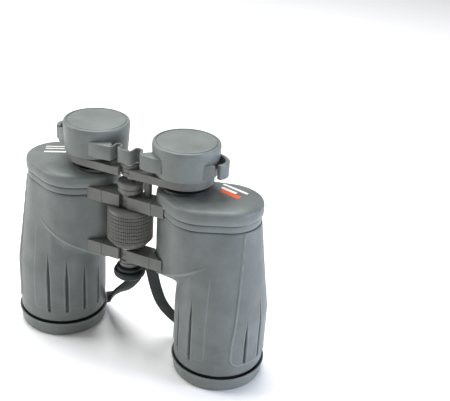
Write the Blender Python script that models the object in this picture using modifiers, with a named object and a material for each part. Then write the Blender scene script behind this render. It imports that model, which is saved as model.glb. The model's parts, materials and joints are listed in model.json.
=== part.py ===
"""Porro prism binoculars with 50 mm objectives, rubber armoured, standing on their capped objectives.

The origin is on the floor, midway between the two barrels. +X is the user's left barrel, -Y is
the side that faces the sky in use and carries the hinge, and +Z runs from objectives to eyepieces.
"""
import math

import bmesh
import bpy
from mathutils import Matrix, Vector

MM = 0.001
GAP = 0.3 * MM                 # clearance between pieces that touch on the real object

# Optical layout, in plan. The eye spacing and the barrel spacing drive everything else.
BARREL_X = 64.0 * MM           # objective axis from the middle plane
EYE_X = 33.5 * MM              # eyepiece axis from the middle plane, half of the eye spacing
EYE_Y = -1.8 * MM
HINGE_Y = -13.4 * MM           # hinge axis, nearer the sky side than the barrels
LENS_RADIUS = 25.0 * MM        # 50 mm objective

# Body outline, in plan: a hull round three circles, with the barrel's circle tapering upwards
# on its outer side. On the hinge side the barrel stays straight, and the housing overhangs it
# with a ledge that climbs from the hinge to the outer side.
BARREL_RADIUS = 30.8 * MM      # armour round the objective end
SHOULDER_RADIUS = 22.4 * MM    # the same cone where it reaches the cover
HINGE_SIDE = (33.0 * MM, -4.0 * MM, 16.0 * MM)
PRISM_ROOM = 8.75 * MM           # housing wall beyond the two light paths
FRONT_BULGE = ((BARREL_X + EYE_X) / 2 + 0.25 * MM, -5.4 * MM, (BARREL_X - EYE_X) / 2 + PRISM_ROOM)
OUTLINE_STEPS = 48
LEDGE_FACING = math.radians(176)  # where the ledge is lowest, seen from the barrel's axis
LEDGE_LOW_Z = 62.0 * MM
LEDGE_CLIMB = 19.0 * MM        # rise for each radian away from the hinge
LEDGE_TOP_Z = 95.0 * MM
ARMOUR_WALL = 1.8 * MM
CASTING_WALL = 1.6 * MM

# Heights, from the floor up.
CAP_HEIGHT = 10.9 * MM
CAP_RADIUS = 31.5 * MM
CAP_WALL = 2.0 * MM
ARMOUR_FOOT_Z = CAP_HEIGHT + 1.3 * MM
LENS_Z = 18.0 * MM             # middle of the objective lens
FLARE_Z = 52.0 * MM            # the barrel tapers from here up
CASTING_FLOOR_Z = 57.0 * MM    # bottom of the prism casting's neck
PRISM_WIDTH = 12.0 * MM
PRISM_LENGTH = math.hypot(BARREL_X - EYE_X, EYE_Y) / math.sqrt(2) + PRISM_WIDTH
PRISM_BLUNT = 1.5 * MM           # ground off the ends, and three times that off the roof
PRISM_HEIGHT = PRISM_LENGTH / 2 - 3 * PRISM_BLUNT
PRISM_FLOOR_Z = 77.9 * MM        # lowest point of the lower prism
SHELF_HALF = 1.0 * MM
SHELF_Z = PRISM_FLOOR_Z + PRISM_HEIGHT + GAP + SHELF_HALF
SEAM_Z = 117.0 * MM            # joint between housing and cover
COVER_TOP_Z = 132.5 * MM
BRIDGE_Z = 137.8 * MM          # underside of the eyepiece bridge
BRIDGE_THICK = 5.4 * MM
EYECUP_TOP_Z = 161.8 * MM
RAINGUARD_TOP_Z = 164.4 * MM

# Hinge and focus.
AXLE_RADIUS = 4.3 * MM
SPINDLE_RADIUS = 3.0 * MM
KNUCKLE_RADIUS = 6.5 * MM
ARM_THICK = 8.5 * MM
UPPER_ARM_Z = 115.5 * MM
LOWER_ARM_Z = 75.5 * MM
ARM_FRONT = 8.0 * MM           # flat front face, ahead of the hinge axis
ARM_BACK = 5.0 * MM
WHEEL_RADIUS = 15.3 * MM
WHEEL_CLEARANCE = 1.0 * MM
WASHER_THICK = 2.6 * MM
COLLAR_RADIUS = 9.0 * MM
COLLAR_TOP_Z = 133.1 * MM
HUB_RADIUS = 8.0 * MM
TRIPOD_CAP_RADIUS = 11.0 * MM
TRIPOD_CAP_Z = 60.3 * MM

# Eyepieces and their rain guard.
TUBE_RADIUS = 11.0 * MM
TUBE_WALL = 1.4 * MM
SLEEVE_WALL = 1.0 * MM
BRIDGE_RING_RADIUS = 19.0 * MM
EYECUP_RADIUS = 18.4 * MM
RUBBER_WALL = 1.8 * MM
RAINGUARD_RADIUS = 22.3 * MM
LOOP_REACH = 29.8 * MM         # strap loop tip, from the eyepiece axis
LOOP_HALF_WIDTH = 13.0 * MM
LOOP_Z = 146.0 * MM
LOOP_HEIGHT = 10.0 * MM

STRAP_WIDTH = 8.5 * MM
STRAP_THICK = 1.8 * MM

HINGE = Vector((0, HINGE_Y, 0))
SIDES = (("left", 1), ("right", -1))


def collection(name):
    made = bpy.data.collections.new(name)
    bpy.context.scene.collection.children.link(made)
    return made


def material(name, colour, roughness, metallic=0.0):
    made = bpy.data.materials.new(name)
    made.use_nodes = True
    shader = made.node_tree.nodes["Principled BSDF"]
    shader.inputs["Base Color"].default_value = (*colour, 1)
    shader.inputs["Roughness"].default_value = roughness
    shader.inputs["Metallic"].default_value = metallic
    return made


for old in list(bpy.data.objects):
    bpy.data.objects.remove(old, do_unlink=True)
PARTS = collection("binoculars")
CUTTERS = collection("binoculars_cutters")

ARMOUR_RUBBER = material("armour_rubber", (0.13, 0.16, 0.155), 0.62)
SOFT_RUBBER = material("soft_rubber", (0.15, 0.17, 0.17), 0.7)
STRAP_RUBBER = material("strap_rubber", (0.03, 0.04, 0.04), 0.6)
PLASTIC = material("moulded_plastic", (0.18, 0.17, 0.165), 0.5)
CASTING = material("black_casting", (0.05, 0.05, 0.05), 0.55, 0.6)
STEEL = material("turned_steel", (0.55, 0.55, 0.55), 0.3, 1.0)
GLASS = material("coated_glass", (0.25, 0.2, 0.3), 0.05)


def pivot(name, place):
    """An empty on a joint's axis, which the pieces of one moving body hang from."""
    made = bpy.data.objects.new(name, None)
    made.location = place
    PARTS.objects.link(made)
    return made


RIGHT_BODY = pivot("right_body_pivot", HINGE)
BRIDGE = pivot("bridge_pivot", HINGE)
RIGHT_EYEPIECE = pivot("right_eyepiece_pivot", HINGE)


def add(name, mesh, finish, place=(0, 0, 0), parent=None, cutter=False):
    made = bpy.data.objects.new(name, mesh)
    made.location = Vector(place) - (parent.location if parent else Vector())
    made.parent = parent
    if cutter:
        CUTTERS.objects.link(made)
        made.hide_render = True
        made.display_type = "WIRE"
    else:
        mesh.materials.append(finish)
        PARTS.objects.link(made)
    return made


def finish_mesh(bm, name):
    bmesh.ops.recalc_face_normals(bm, faces=bm.faces)
    mesh = bpy.data.meshes.new(name)
    bm.to_mesh(mesh)
    bm.free()
    mesh.shade_smooth()
    mesh.set_sharp_from_angle(angle=math.radians(35))
    return mesh


def turned(name, profile, finish, centre, parent=None, closed=False, steps=28):
    """Turns a profile of (radius, height) points; a closed one is a ring, an open one ends on the axis."""
    mesh = bpy.data.meshes.new(name)
    edges = [(i, i + 1) for i in range(len(profile) - 1)]
    if closed:
        edges.append((len(profile) - 1, 0))
    mesh.from_pydata([(r, 0, z) for r, z in profile], edges, [])
    made = add(name, mesh, finish, centre, parent)
    screw = made.modifiers.new("turn", "SCREW")
    screw.axis = "Z"
    screw.angle = math.tau
    screw.steps = screw.render_steps = steps
    screw.use_merge_vertices = True
    screw.merge_threshold = 0.00001
    screw.use_smooth_shade = True
    return made


def ring(name, inner, outer, low, high, finish, centre, parent=None, steps=28):
    profile = [(inner, high), (outer, high), (outer, low), (inner, low)]
    return turned(name, profile, finish, centre, parent, closed=True, steps=steps)


def cylinder_cutter(name, radius, low, high, centre, parent=None, steps=28):
    bm = bmesh.new()
    bmesh.ops.create_cone(bm, cap_ends=True, segments=steps, radius1=radius, radius2=radius,
                          depth=high - low, matrix=Matrix.Translation((0, 0, (low + high) / 2)))
    return add(name, finish_mesh(bm, name), None, centre, parent, cutter=True)


def boolean(target, cutter, operation="DIFFERENCE"):
    cut = target.modifiers.new(operation.lower(), "BOOLEAN")
    cut.operation = operation
    cut.solver = "EXACT"
    cut.object = cutter


def hull_ring(circles, z, steps=OUTLINE_STEPS):
    """The outline round a set of (x, y, radius) circles, one point for each direction."""
    points = []
    for step in range(steps):
        turn = math.tau * (step + 0.5) / steps
        way = Vector((math.cos(turn), math.sin(turn)))
        x, y, radius = max(circles, key=lambda c: c[0] * way.x + c[1] * way.y + c[2])
        points.append(Vector((x + radius * way.x, y + radius * way.y, z)))
    return points


def smooth(value, low, high):
    t = min(max((value - low) / (high - low), 0), 1)
    return t * t * (3 - 2 * t)


# Directions from the barrel's axis, closer together on the hinge side where the outline is far.
COLUMNS = [math.tau * i / OUTLINE_STEPS + 0.4 * math.sin(math.tau * i / OUTLINE_STEPS)
           for i in range(OUTLINE_STEPS)]


def from_hinge_side(angle):
    """How far a direction is turned away from the one where the ledge is lowest."""
    return abs((angle - LEDGE_FACING + math.pi) % math.tau - math.pi)


def cone_radius(z):
    """Straight at the objective end, then a cone up to the cover."""
    rise = min(max((z - FLARE_Z) / (SEAM_Z - FLARE_Z), 0), 1)
    return BARREL_RADIUS + (SHOULDER_RADIUS - BARREL_RADIUS) * rise


def housing_radius(angle, z):
    """Distance from the barrel's axis to the hull round the three circles."""
    nearest = math.inf
    for step in range(180):
        turn = math.tau * step / 180
        facing = math.cos(angle - turn)
        if facing > 0.1:
            reach = max((x - BARREL_X) * math.cos(turn) + y * math.sin(turn) + radius for x, y, radius
                        in (HINGE_SIDE, FRONT_BULGE, (BARREL_X, 0, cone_radius(z))))
            nearest = min(nearest, reach / facing)
    return nearest


def ledge_z(angle):
    return min(LEDGE_LOW_Z + LEDGE_CLIMB * from_hinge_side(angle), LEDGE_TOP_Z)


def barrel_radius(angle, z):
    """The barrel under the ledge: straight beside the hinge, narrowing where the housing does."""
    top = min(BARREL_RADIUS, housing_radius(angle, ledge_z(angle)))
    rise = min(max((z - FLARE_Z) / (ledge_z(angle) - FLARE_Z), 0), 1)
    return BARREL_RADIUS + (top - BARREL_RADIUS) * rise


def ledge_drop(angle):
    """The ledge's underside is flat beside the hinge and slopes away from it."""
    z = ledge_z(angle)
    overhang = housing_radius(angle, z) - barrel_radius(angle, z)
    slope = 0.1 + 1.1 * smooth(from_hinge_side(angle), math.radians(20), math.radians(70))
    return 1 * MM + max(overhang, 0) * slope


def ring_at(side, inset, radius_of, z_of):
    """One point for each direction from the barrel's axis, mirrored for the right body."""
    points = []
    for angle in COLUMNS:
        z = z_of(angle)
        radius = radius_of(angle, z - inset) - inset
        points.append(Vector((side * (BARREL_X + radius * math.cos(angle)), radius * math.sin(angle), z)))
    return points


def body_ring(z, side, inset=0.0):
    return ring_at(side, inset, lambda angle, _: housing_radius(angle, z), lambda angle: z)


def barrel_ring(z, side, inset=0.0):
    return ring_at(side, inset, lambda angle, _: barrel_radius(angle, z), lambda angle: z)


def ledge_rings(side, inset=0.0):
    """The edge of the overhang, and the corner below it where the barrel starts."""
    edge = ring_at(side, inset, housing_radius, lambda angle: ledge_z(angle) + inset)
    corner = ring_at(side, inset, barrel_radius, lambda angle: ledge_z(angle) - ledge_drop(angle) + inset)
    return edge, corner


def loft(name, rings, finish, parent=None, joined=False, cutter=False, origin=(0, 0, 0)):
    """Joins rings of equal count; joined rings close on themselves, others get end faces.

    A span that twists is split along the same diagonal on every piece, from the lower ring up, so
    that walls that follow each other keep their clearance.
    """
    bm = bmesh.new()
    rows = [[bm.verts.new(point - Vector(origin)) for point in points] for points in rings]
    pairs = list(zip(rows, rows[1:]))
    if joined:
        pairs.append((rows[-1], rows[0]))
    else:
        bm.faces.new(rows[0])
        bm.faces.new(rows[-1])
    count = len(rows[0])
    for low, high in pairs:
        if low[0].co.z > high[0].co.z:
            low, high = high, low
        for i in range(count):
            j = (i + 1) % count
            bm.faces.new((low[i], low[j], high[j]))
            bm.faces.new((low[i], high[j], high[i]))
    bmesh.ops.remove_doubles(bm, verts=bm.verts, dist=GAP / 100)
    return add(name, finish_mesh(bm, name), finish, origin, parent, cutter)


def block(name, low, high, finish, parent=None, cutter=False, centre=(0, 0, 0)):
    bm = bmesh.new()
    size = Vector(high) - Vector(low)
    middle = (Vector(high) + Vector(low)) / 2 - Vector(centre)
    bmesh.ops.create_cube(bm, size=1, matrix=Matrix.Translation(middle) @ Matrix.Diagonal((*size, 1)))
    return add(name, finish_mesh(bm, name), finish, centre, parent, cutter)


def slice_off(bm, point, way):
    """Cuts away all that lies past a plane and closes the cut."""
    geometry = bm.verts[:] + bm.edges[:] + bm.faces[:]
    cut = bmesh.ops.bisect_plane(bm, geom=geometry, plane_co=point, plane_no=way, clear_outer=True)
    edges = [part for part in cut["geom_cut"] if isinstance(part, bmesh.types.BMEdge)]
    bmesh.ops.contextual_create(bm, geom=edges)


# --- The two bodies -------------------------------------------------------------------------

def armour(name, side, parent):
    """Rubber skin, open at the foot and at the cover; the housing overhangs the barrel."""
    rings = []
    for inset in (0, ARMOUR_WALL):
        edge, corner = ledge_rings(side, inset)
        wall = [barrel_ring(ARMOUR_FOOT_Z, side, inset), barrel_ring(FLARE_Z, side, inset), corner, edge,
                body_ring(SEAM_Z, side, inset)]
        rings += wall if inset == 0 else wall[::-1]
    return loft(name + "_armour", rings, ARMOUR_RUBBER, parent, joined=True, origin=(side * BARREL_X, 0, 0))


CASTING_INSET = ARMOUR_WALL + GAP
CAVITY_INSET = CASTING_INSET + CASTING_WALL
WINDOW_RADIUS = 20 * MM


def prism_housing(name, side, parent):
    """Cast box under the armour, open at the top, with a round window over the barrel."""
    floor_top = CASTING_FLOOR_Z + CASTING_WALL
    rings = []
    for inset, low in ((CASTING_INSET, CASTING_FLOOR_Z), (CAVITY_INSET, floor_top)):
        edge, corner = ledge_rings(side, inset)
        window = ring_at(side, 0, lambda angle, z: WINDOW_RADIUS, lambda angle: low)
        wall = [window, barrel_ring(low, side, inset), corner, edge, body_ring(SEAM_Z, side, inset)]
        rings += wall if inset == CASTING_INSET else wall[::-1]
    return loft(name + "_prism_housing", rings, CASTING, parent, joined=True,
                origin=(side * BARREL_X, 0, 0))


def prism_cover(name, side, parent):
    """Top plate with its skirt, closing the housing, with a hole for the eyepiece sleeve."""
    low = SEAM_Z + GAP
    skirt = CAVITY_INSET
    rings = [body_ring(COVER_TOP_Z - 2 * MM, side, skirt), body_ring(low, side, skirt)]
    edge = ((0, 0), (0.45, 1.5), (0.45, 12), (-0.3, 13.6), (-1.8, 14.8), (-4.5, 15.2))
    rings += [body_ring(low + rise * MM, side, -out * MM) for out, rise in edge]
    cover = loft(name + "_prism_cover", rings, ARMOUR_RUBBER, parent, origin=(side * BARREL_X, 0, 0))
    hole = cylinder_cutter(name + "_cover_hole", TUBE_RADIUS + SLEEVE_WALL + 2 * GAP, SEAM_Z,
                           COVER_TOP_Z + 5 * MM, (side * EYE_X, EYE_Y, 0), parent)
    boolean(cover, hole)
    return cover


def objective(name, side, parent):
    """Barrel tube with its cap spigot, the lens cell inside it and the lens."""
    centre = (side * BARREL_X, 0, 0)
    spigot = CAP_RADIUS - CAP_WALL - GAP
    bore = spigot - 1.6 * MM
    inset = ARMOUR_WALL + GAP
    foot = CAP_WALL + 1.5 * MM
    top = CASTING_FLOOR_Z - GAP
    profile = [(cone_radius(top) - inset - 1.5 * MM, top), (cone_radius(top) - inset, top),
               (BARREL_RADIUS - inset, FLARE_Z), (BARREL_RADIUS - inset, ARMOUR_FOOT_Z),
               (spigot, ARMOUR_FOOT_Z - GAP), (spigot, foot), (bore, foot), (bore, FLARE_Z)]
    turned(name + "_objective_barrel", profile, CASTING, centre, parent, closed=True)
    cell_outer = bore - GAP
    seat = LENS_RADIUS - 1.5 * MM
    rim = LENS_RADIUS + GAP
    low, high = LENS_Z - 6 * MM, LENS_Z + 7 * MM
    profile = [(seat, high), (cell_outer, high), (cell_outer, low), (rim, low), (rim, LENS_Z + 4 * MM),
               (seat, LENS_Z + 4 * MM)]
    turned(name + "_objective_cell", profile, CASTING, centre, parent, closed=True)
    lens(name + "_objective_lens", LENS_RADIUS, LENS_Z, 7 * MM, 2.5 * MM, centre, parent)


def lens(name, radius, middle, edge, bulge, centre, parent, steps=32):
    """A glass disc with both faces domed."""
    upper = [(radius * s, middle + edge / 2 + bulge * (1 - s * s)) for s in (0, 0.35, 0.7, 1)]
    lower = [(r, 2 * middle - z) for r, z in reversed(upper)]
    return turned(name, upper + lower, GLASS, centre, parent, steps=steps)


def porro_prism(name, start, end, base_z, up, parent):
    """A right-angle prism whose long face lies flat and spans from one light path to the next."""
    run = Vector(end) - Vector(start)
    middle = (Vector(start) + Vector(end)) / 2
    half_length = PRISM_LENGTH / 2
    bm = bmesh.new()
    bmesh.ops.create_cube(bm, size=1, matrix=Matrix.Translation((0, 0, up * half_length / 2))
                          @ Matrix.Diagonal((PRISM_LENGTH, PRISM_WIDTH, half_length, 1)))
    for way in (1, -1):
        slice_off(bm, (way * (half_length - PRISM_BLUNT), 0, 0), (way, 0, up))
    slice_off(bm, (0, 0, up * PRISM_HEIGHT), (0, 0, up))
    mesh = finish_mesh(bm, name)
    made = add(name, mesh, GLASS, (middle.x, middle.y, base_z), parent)
    made.rotation_euler.z = math.atan2(run.y, run.x)
    return made


def prisms(name, side, parent):
    """Two crossed prisms on a shelf, which carry the light from the objective axis to the eyepiece axis."""
    start = Vector((side * BARREL_X, 0))
    end = Vector((side * EYE_X, EYE_Y))
    run = end - start
    corner = start + Matrix.Rotation(side * math.radians(45), 2) @ run / math.sqrt(2)
    rings = [body_ring(z, side, CAVITY_INSET + GAP) for z in (SHELF_Z - SHELF_HALF, SHELF_Z + SHELF_HALF)]
    plate = loft(name + "_prism_shelf", rings, CASTING, parent, origin=(side * BARREL_X, 0, 0))
    for index, place in enumerate((start, corner, end)):
        window = cylinder_cutter(f"{name}_shelf_window_{index + 1}", PRISM_WIDTH / 2 - 0.6 * MM,
                                 SHELF_Z - 3 * MM, SHELF_Z + 3 * MM, (place.x, place.y, 0), parent, 20)
        boolean(plate, window)
    porro_prism(name + "_prism_a", start, corner, SHELF_Z + SHELF_HALF + GAP, 1, parent)
    porro_prism(name + "_prism_b", corner, end, SHELF_Z - SHELF_HALF - GAP, -1, parent)


def hinge_arm(name, side, low, knuckle_is_low, parent):
    """Flat-faced bar from the housing to the axle, with half of its height as the knuckle."""
    high = low + ARM_THICK
    middle = (low + high) / 2
    near = 1.8 * MM if side > 0 else 4.3 * MM
    reach = HINGE_SIDE[0]
    xs = sorted((side * near, side * reach))
    bar = block(name, (xs[0], HINGE_Y - ARM_FRONT, low), (xs[1], HINGE_Y + ARM_BACK, high), PLASTIC,
                parent, centre=HINGE)
    own = (low, middle - GAP / 2) if knuckle_is_low else (middle + GAP / 2, high)
    other = (middle - GAP / 2, high + MM) if knuckle_is_low else (low - MM, middle + GAP / 2)
    boolean(bar, cylinder_cutter(name + "_knuckle", KNUCKLE_RADIUS, *own, HINGE, parent), "UNION")
    boolean(bar, cylinder_cutter(name + "_room", KNUCKLE_RADIUS + GAP, *other, HINGE, parent))
    boolean(bar, cylinder_cutter(name + "_bore", AXLE_RADIUS + GAP, low - MM, high + MM, HINGE, parent))
    rings = [body_ring(z, side, -0.45 * MM - GAP) for z in (low - MM, high + MM)]
    boolean(bar, loft(name + "_seat", rings, None, parent, cutter=True))
    return bar


for body_name, body_side in SIDES:
    body_parent = RIGHT_BODY if body_side < 0 else None
    armour(body_name, body_side, body_parent)
    prism_housing(body_name, body_side, body_parent)
    prism_cover(body_name, body_side, body_parent)
    objective(body_name, body_side, body_parent)
    prisms(body_name, body_side, body_parent)
    hinge_arm(body_name + "_upper_arm", body_side, UPPER_ARM_Z, body_side < 0, body_parent)
    hinge_arm(body_name + "_lower_arm", body_side, LOWER_ARM_Z, body_side > 0, body_parent)


# --- Eyepieces and the bridge that carries them --------------------------------------------------

FLANGE_Z = COVER_TOP_Z + GAP
SLEEVE_FOOT_Z = SEAM_Z + 5 * MM
BRIDGE_TOP_Z = BRIDGE_Z + BRIDGE_THICK


def eyepiece(name, side, parent, body_parent):
    """Fixed sleeve in the cover, and the sliding tube with its two lenses and rubber eyecup."""
    centre = (side * EYE_X, EYE_Y, 0)
    bore = TUBE_RADIUS + GAP
    sleeve = bore + SLEEVE_WALL
    top = FLANGE_Z + 1.6 * MM
    profile = [(bore, top), (bore + 5 * MM, top), (bore + 5 * MM, FLANGE_Z), (sleeve, FLANGE_Z),
               (sleeve, SLEEVE_FOOT_Z), (bore, SLEEVE_FOOT_Z)]
    turned(name + "_eyepiece_sleeve", profile, CASTING, centre, body_parent, closed=True)
    collar_z = BRIDGE_TOP_Z + GAP
    inner = TUBE_RADIUS - TUBE_WALL
    tube_top = collar_z + 5 * MM
    profile = [(inner, tube_top), (TUBE_RADIUS, tube_top), (TUBE_RADIUS, collar_z + 1.2 * MM),
               (TUBE_RADIUS + 2 * MM, collar_z + 1.2 * MM), (TUBE_RADIUS + 2 * MM, collar_z),
               (TUBE_RADIUS, collar_z), (TUBE_RADIUS, SLEEVE_FOOT_Z + MM), (inner, SLEEVE_FOOT_Z + MM)]
    turned(name + "_eyepiece_tube", profile, CASTING, centre, parent, closed=True)
    lens(name + "_field_lens", inner - GAP, SLEEVE_FOOT_Z + 6 * MM, 3 * MM, 1 * MM, centre, parent, 24)
    lens(name + "_eye_lens", inner - GAP, tube_top - 3 * MM, 3 * MM, 0.8 * MM, centre, parent, 24)


def eyecup(name, side, parent, foot):
    """Fold-down rubber cup that seats on the tube's end."""
    centre = (side * EYE_X, EYE_Y, 0)
    outer = EYECUP_RADIUS
    inner = outer - RUBBER_WALL
    bore = TUBE_RADIUS + GAP
    profile = [(inner, EYECUP_TOP_Z), (outer, EYECUP_TOP_Z), (outer - 0.8 * MM, foot),
               (bore, foot), (bore, foot + 2.6 * MM), (inner - 0.8 * MM, foot + 2.6 * MM)]
    turned(name + "_eyecup", profile, SOFT_RUBBER, centre, parent, closed=True)


def bridge_arm(name, side, knuckle_is_low, parent):
    """Ring round the eyepiece tube with an arm that tapers to the hub over the hinge."""
    low, high = BRIDGE_Z, BRIDGE_TOP_Z
    middle = (low + high) / 2
    circles = [(side * EYE_X, EYE_Y, BRIDGE_RING_RADIUS), (0, HINGE_Y, HUB_RADIUS)]
    plate = loft(name, [hull_ring(circles, low), hull_ring(circles, high)], PLASTIC, parent, origin=HINGE)
    edge = 3.2 * MM if side > 0 else 5.2 * MM
    xs = sorted((side * edge, -side * 2 * HUB_RADIUS))
    boolean(plate, block(name + "_end", (xs[0], HINGE_Y - 20 * MM, low - MM),
                         (xs[1], HINGE_Y + 20 * MM, high + MM), None, parent, cutter=True))
    own = (low, middle - GAP / 2) if knuckle_is_low else (middle + GAP / 2, high)
    other = (middle - GAP / 2, high + MM) if knuckle_is_low else (low - MM, middle + GAP / 2)
    boolean(plate, cylinder_cutter(name + "_knuckle", KNUCKLE_RADIUS, *own, HINGE, parent), "UNION")
    boolean(plate, cylinder_cutter(name + "_room", KNUCKLE_RADIUS + GAP, *other, HINGE, parent))
    boolean(plate, cylinder_cutter(name + "_bore", SPINDLE_RADIUS + GAP, low - MM, high + MM, HINGE, parent))
    boolean(plate, cylinder_cutter(name + "_seat", TUBE_RADIUS + GAP, low - MM, high + MM,
                                   (side * EYE_X, EYE_Y, 0), parent))
    return plate


EYECUP_FOOT_Z = BRIDGE_TOP_Z + 2.2 * MM
DIOPTER_HEIGHT = 4.4 * MM
for body_name, body_side in SIDES:
    body_parent = RIGHT_BODY if body_side < 0 else None
    eye_parent = RIGHT_EYEPIECE if body_side < 0 else BRIDGE
    eyepiece(body_name, body_side, eye_parent, body_parent)
    bridge_arm(body_name + "_bridge_arm", body_side, body_side > 0, eye_parent)
    lift = DIOPTER_HEIGHT + GAP if body_side < 0 else 0
    eyecup(body_name, body_side, eye_parent, EYECUP_FOOT_Z + lift)

ring("diopter_ring", TUBE_RADIUS + GAP, EYECUP_RADIUS - 0.8 * MM, EYECUP_FOOT_Z,
     EYECUP_FOOT_Z + DIOPTER_HEIGHT, PLASTIC, (-EYE_X, EYE_Y, 0), RIGHT_EYEPIECE)


# --- Hinge and focusing gear -----------------------------------------------------------------

NUT_Z = LOWER_ARM_Z - GAP - 5.7 * MM
TETHER_RING_Z = NUT_Z - GAP - 2.6 * MM
WHEEL_LOW_Z = LOWER_ARM_Z + ARM_THICK + WASHER_THICK + 2 * GAP
WHEEL_HIGH_Z = UPPER_ARM_Z - WHEEL_CLEARANCE
AXLE_BORE = AXLE_RADIUS + GAP

ring("hinge_tube", SPINDLE_RADIUS + GAP, AXLE_RADIUS, TETHER_RING_Z, COLLAR_TOP_Z - GAP, STEEL, HINGE)
ring("hinge_nut", AXLE_BORE, 7.2 * MM, NUT_Z, LOWER_ARM_Z - GAP, PLASTIC, HINGE)
ring("tether_ring", AXLE_BORE, COLLAR_RADIUS, TETHER_RING_Z, NUT_Z - GAP, STRAP_RUBBER, HINGE)
ring("wheel_washer", AXLE_BORE, 7.5 * MM, LOWER_ARM_Z + ARM_THICK + GAP, WHEEL_LOW_Z - GAP, STEEL, HINGE)
ring("collar", AXLE_BORE, COLLAR_RADIUS, UPPER_ARM_Z + ARM_THICK + GAP, COLLAR_TOP_Z, PLASTIC, HINGE)
wheel_profile = [(AXLE_BORE, WHEEL_HIGH_Z), (WHEEL_RADIUS - 2 * MM, WHEEL_HIGH_Z),
                 (WHEEL_RADIUS, WHEEL_HIGH_Z - 2 * MM), (WHEEL_RADIUS, WHEEL_LOW_Z + 4 * MM),
                 (WHEEL_RADIUS - 3.5 * MM, WHEEL_LOW_Z), (AXLE_BORE, WHEEL_LOW_Z)]
turned("focus_wheel", wheel_profile, PLASTIC, HINGE, closed=True)

spindle_low = WHEEL_LOW_Z
spindle_high = BRIDGE_TOP_Z + 1.5 * MM
turned("focus_spindle", [(0, spindle_high), (SPINDLE_RADIUS, spindle_high), (SPINDLE_RADIUS, spindle_low),
                         (0, spindle_low)], STEEL, HINGE, BRIDGE, steps=24)
cap_low, cap_high = BRIDGE_TOP_Z + GAP, BRIDGE_TOP_Z + 3.0 * MM
hollow = spindle_high + GAP
turned("hub_cap", [(0, cap_high), (6 * MM, cap_high), (7 * MM, cap_high - MM), (7 * MM, cap_low),
                   (SPINDLE_RADIUS + GAP, cap_low), (SPINDLE_RADIUS + GAP, hollow), (0, hollow)],
       PLASTIC, HINGE, BRIDGE)
post_place = (HINGE.x + 12 * MM, HINGE.y + 1.5 * MM, 0)
post_low = UPPER_ARM_Z + ARM_THICK + GAP
turned("guide_post", [(0, BRIDGE_Z - 3.4 * MM), (2.6 * MM, BRIDGE_Z - 3.4 * MM), (2.6 * MM, post_low),
                      (0, post_low)], PLASTIC, post_place, steps=20)

disc_top = TETHER_RING_Z - GAP
stud = SPINDLE_RADIUS
turned("tripod_cap", [(0, NUT_Z), (stud, NUT_Z), (stud, disc_top), (TRIPOD_CAP_RADIUS - MM, disc_top),
                      (TRIPOD_CAP_RADIUS, disc_top - MM), (TRIPOD_CAP_RADIUS - 1.5 * MM, TRIPOD_CAP_Z),
                      (0, TRIPOD_CAP_Z)], SOFT_RUBBER, HINGE)


# --- Rubber accessories ----------------------------------------------------------------------

def objective_cap(name, side, parent):
    """Soft cup pushed over the barrel's spigot."""
    inner = CAP_RADIUS - CAP_WALL
    profile = [(0, CAP_WALL), (inner, CAP_WALL), (inner, CAP_HEIGHT), (CAP_RADIUS, CAP_HEIGHT),
               (CAP_RADIUS - 0.4 * MM, 2 * MM), (CAP_RADIUS - 1.4 * MM, 0.5 * MM),
               (CAP_RADIUS - 2.6 * MM, 0), (0, 0)]
    turned(name + "_objective_cap", profile, SOFT_RUBBER, (side * BARREL_X, 0, 0), parent)


def ellipse_ring(centre, reach, half_width, z, steps=28):
    points = []
    for step in range(steps):
        angle = math.tau * step / steps
        points.append(centre + Vector((reach * math.cos(angle), half_width * math.sin(angle), z)))
    return points


RAINGUARD_FOOT_Z = BRIDGE_TOP_Z + 0.6 * MM


def rainguard_cap(name, side, parent):
    """Soft cap over the eyecup, with a moulded loop for the neck strap on its outer side."""
    eye = Vector((side * EYE_X, EYE_Y, 0))
    top, radius = RAINGUARD_TOP_Z, RAINGUARD_RADIUS
    half_length = 20 * MM
    middle = eye + Vector((side * (LOOP_REACH - half_length), 0, 0))
    band = 2.4 * MM
    heights = (LOOP_Z, LOOP_Z + LOOP_HEIGHT)
    outer = [ellipse_ring(middle, half_length, LOOP_HALF_WIDTH, z) for z in heights]
    inner = [ellipse_ring(middle, half_length - band, LOOP_HALF_WIDTH - band, z)
             for z in reversed(heights)]
    shell = loft(name + "_rainguard_cap", outer + inner, SOFT_RUBBER, parent, joined=True, origin=eye)
    bm = bmesh.new()
    bmesh.ops.create_cone(bm, cap_ends=True, segments=32, radius1=radius - 1.1 * MM, radius2=radius,
                          depth=top - RAINGUARD_FOOT_Z,
                          matrix=Matrix.Translation((0, 0, (top + RAINGUARD_FOOT_Z) / 2)))
    rim = [edge for edge in bm.edges if all(vert.co.z > top - 0.1 * MM for vert in edge.verts)]
    bmesh.ops.bevel(bm, geom=rim, offset=1.8 * MM, segments=2, profile=0.5, affect="EDGES", material=-1)
    cap = add(name + "_cap_form", finish_mesh(bm, name), None, eye, parent, cutter=True)
    boolean(shell, cap, "UNION")
    cavity = cylinder_cutter(name + "_cap_cavity", EYECUP_RADIUS + GAP, RAINGUARD_FOOT_Z - MM,
                             EYECUP_TOP_Z + GAP, eye, parent)
    boolean(shell, cavity)
    return shell


def ribbon(name, route, width_ways, width, thick, finish, parent=None):
    """A flat band of constant section along a route; each point has its own width direction."""
    rings = []
    for index, (spot, way) in enumerate(zip(route, width_ways)):
        before = route[max(index - 1, 0)]
        after = route[min(index + 1, len(route) - 1)]
        along = (after - before).normalized()
        across = (way - along * way.dot(along)).normalized() * width / 2
        face = along.cross(across).normalized() * thick / 2
        rings.append([spot + across + face, spot + across - face, spot - across - face, spot - across + face])
    return loft(name, rings, finish, parent, origin=route[0])


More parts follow.
